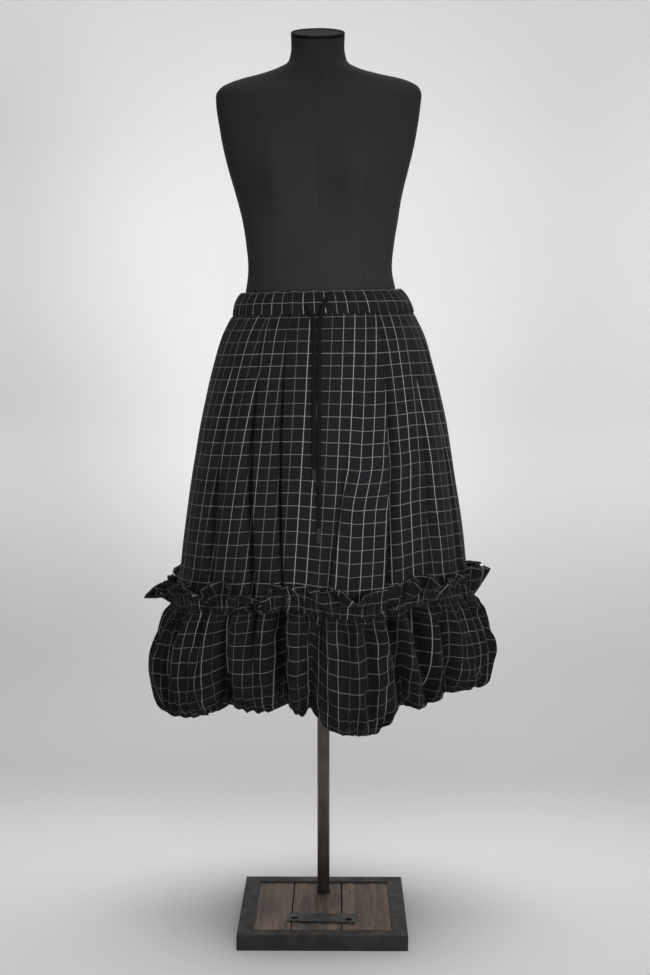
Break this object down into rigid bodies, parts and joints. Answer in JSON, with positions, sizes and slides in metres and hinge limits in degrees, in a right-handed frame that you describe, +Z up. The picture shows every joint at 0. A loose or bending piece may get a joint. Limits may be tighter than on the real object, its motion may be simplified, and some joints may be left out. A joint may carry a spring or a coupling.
{
  "type": "checked skirt on a dress form",
  "caption": "Gathered check skirt with drawstring waist, frilled heading and bubble hem, on a limbless dress form and square stand.",
  "frame": {"origin": "on the floor directly under the pole of the stand, on the underside of the base", "axes": "+Z up along the pole; the front of the skirt and form faces -Y; +X is to the right seen from the front"},
  "size_m": [0.6465, 0.5015, 1.6344],
  "materials": {
    "check_cloth": "matte",
    "drawstring_tape": "matte",
    "tape_tip": "satin",
    "form_jersey": "matte",
    "neck_satin": "satin",
    "dark_steel": "satin",
    "black_steel": "satin",
    "dark_wood": "satin"
  },
  "bodies": {
    "root": {"base_frame": "dark_steel", "base_plate": "black_steel", "board_left": "dark_wood", "board_middle": "dark_wood", "board_right": "dark_wood", "nameplate": "black_steel", "nameplate_fixing_left": "black_steel", "nameplate_fixing_right": "black_steel", "pole": "dark_steel", "pole_collar": "dark_steel", "dress_form": "form_jersey", "neck_cap": "neck_satin", "waistband": "check_cloth", "skirt_front": "check_cloth", "skirt_back": "check_cloth", "frill_front": "check_cloth", "frill_back": "check_cloth", "bubble_front_left": "check_cloth", "bubble_front_right": "check_cloth", "bubble_back_left": "check_cloth", "bubble_back_right": "check_cloth", "drawstring_left": "drawstring_tape", "drawstring_right": "drawstring_tape", "drawstring_tip_left": "tape_tip", "drawstring_tip_right": "tape_tip"}
  },
  "joints": []
}
